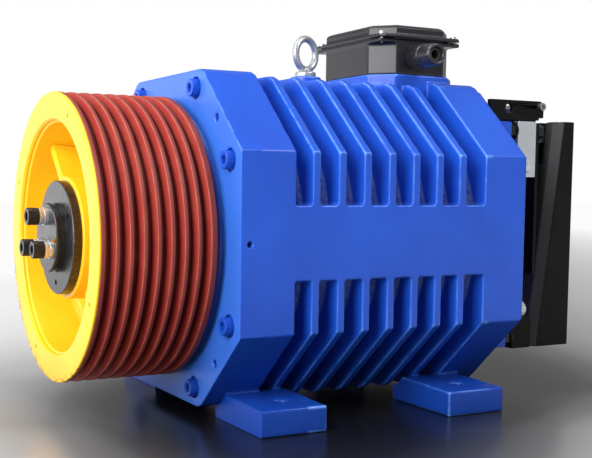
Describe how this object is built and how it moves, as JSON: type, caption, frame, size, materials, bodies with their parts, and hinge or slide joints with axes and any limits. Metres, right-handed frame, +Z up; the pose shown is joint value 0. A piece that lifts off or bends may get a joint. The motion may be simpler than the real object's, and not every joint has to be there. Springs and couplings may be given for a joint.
{
  "type": "elevator traction machine",
  "caption": "Gearless lift machine with a grooved rope sheave, finned octagonal motor housing on feet, terminal box and spring-applied drum brake.",
  "frame": {"origin": "centre of the four foot holes, on the plane the feet stand on", "axes": "+X along the shaft from the sheave to the brake, +Y to the right seen from the sheave's side, +Z up"},
  "size_m": [0.901, 0.49, 0.5664],
  "materials": {
    "blue_enamel": "semi-gloss blue enamel",
    "black_enamel": "satin black enamel",
    "yellow_enamel": "gloss yellow enamel",
    "red_primer": "red-brown oxide paint",
    "machined_steel": "machined",
    "dark_steel": "oiled, dark",
    "black_oxide": "black oxide",
    "zinc_plate": "bright zinc plate",
    "lamination": "varnished sheet stack",
    "copper_winding": "varnished",
    "magnet": "nickel plate",
    "brass": "turned",
    "rubber": "matt",
    "moulded_plastic": "fine texture",
    "terminal_plastic": "moulded",
    "friction_lining": "woven, dry"
  },
  "bodies": {
    "frame": {"housing": "blue_enamel", "feet": "blue_enamel", "front_shield": "blue_enamel", "front_cover": "blue_enamel", "rear_shield": "blue_enamel", "rear_cover": "blue_enamel", "shaft_seals": "rubber", "cover_screws": "dark_steel", "front_shield_screws": "blue_enamel", "rear_shield_screws": "zinc_plate", "front_bearing_outer": "machined_steel", "rear_bearing_outer": "machined_steel", "stator_core": "lamination", "stator_winding": "copper_winding", "eye_bolt": "zinc_plate", "box_base": "black_enamel", "box_gasket": "rubber", "box_lid": "black_enamel", "box_lid_screws": "zinc_plate", "terminal_block": "terminal_plastic", "terminal_studs": "brass", "gland_body": "moulded_plastic", "gland_nuts": "moulded_plastic", "gland_seal": "rubber", "carrier_plate": "black_enamel", "spacer_blocks": "zinc_plate", "pivot_brackets": "black_enamel", "brake_studs": "zinc_plate", "pivot_pins": "machined_steel", "spring_left": "machined_steel", "spring_right": "machined_steel", "magnet_body": "black_enamel", "spring_yoke": "black_enamel", "switches": "moulded_plastic", "encoder_body": "moulded_plastic"},
    "rotor": {"front_bearing_inner": "machined_steel", "rear_bearing_inner": "machined_steel", "rotor_hub": "dark_steel", "rotor_magnets": "magnet", "shaft": "machined_steel", "shaft_keys": "machined_steel", "sheave": "yellow_enamel", "groove_rim": "red_primer", "clamp_disc": "dark_steel", "end_plate": "dark_steel", "grease_plug": "brass", "clamp_screws": "black_oxide", "clamp_washers": "zinc_plate", "brake_drum": "dark_steel", "encoder_hub": "machined_steel"},
    "arm_left": {"brake_arm_left": "black_enamel", "lining_left": "friction_lining", "tie_rod_left": "zinc_plate"},
    "arm_right": {"brake_arm_right": "black_enamel", "lining_right": "friction_lining", "tie_rod_right": "zinc_plate"},
    "plunger_left": {"plunger_left": "machined_steel"},
    "plunger_right": {"plunger_right": "machined_steel"},
    "lever": {"release_lever": "black_enamel", "release_shaft": "machined_steel"}
  },
  "joints": [
    {"name": "sheave_spin", "type": "hinge", "parent": "frame", "child": "rotor", "pos_m": [0, 0, 0.248], "axis": [1, 0, 0], "continuous": true},
    {"name": "arm_left_open", "type": "hinge", "parent": "frame", "child": "arm_left", "pos_m": [0.38, -0.098, 0.098], "axis": [1, 0, 0], "range_deg": [0, 0.35], "stiffness_Nm_per_rad": 3000, "springref_deg": -0.57, "deforming": ["spring_left"]},
    {"name": "arm_right_open", "type": "hinge", "parent": "frame", "child": "arm_right", "pos_m": [0.38, 0.098, 0.098], "axis": [-1, 0, 0], "range_deg": [0, 0.35], "stiffness_Nm_per_rad": 3000, "springref_deg": -0.57, "deforming": ["spring_right"]},
    {"name": "plunger_left_slide", "type": "slide", "parent": "frame", "child": "plunger_left", "axis": [0, -1, 0], "range_m": [0, 0.002]},
    {"name": "plunger_right_slide", "type": "slide", "parent": "frame", "child": "plunger_right", "axis": [0, 1, 0], "range_m": [0, 0.002]},
    {"name": "release_turn", "type": "hinge", "parent": "frame", "child": "lever", "pos_m": [0.3415, 0, 0.449], "axis": [0, 1, 0], "range_deg": [0, 8]}
  ],
  "couplings": [
    {"joint": "plunger_left_slide", "follows": "arm_left_open", "m_per_rad": 0.283},
    {"joint": "plunger_right_slide", "follows": "arm_right_open", "m_per_rad": 0.283}
  ]
}
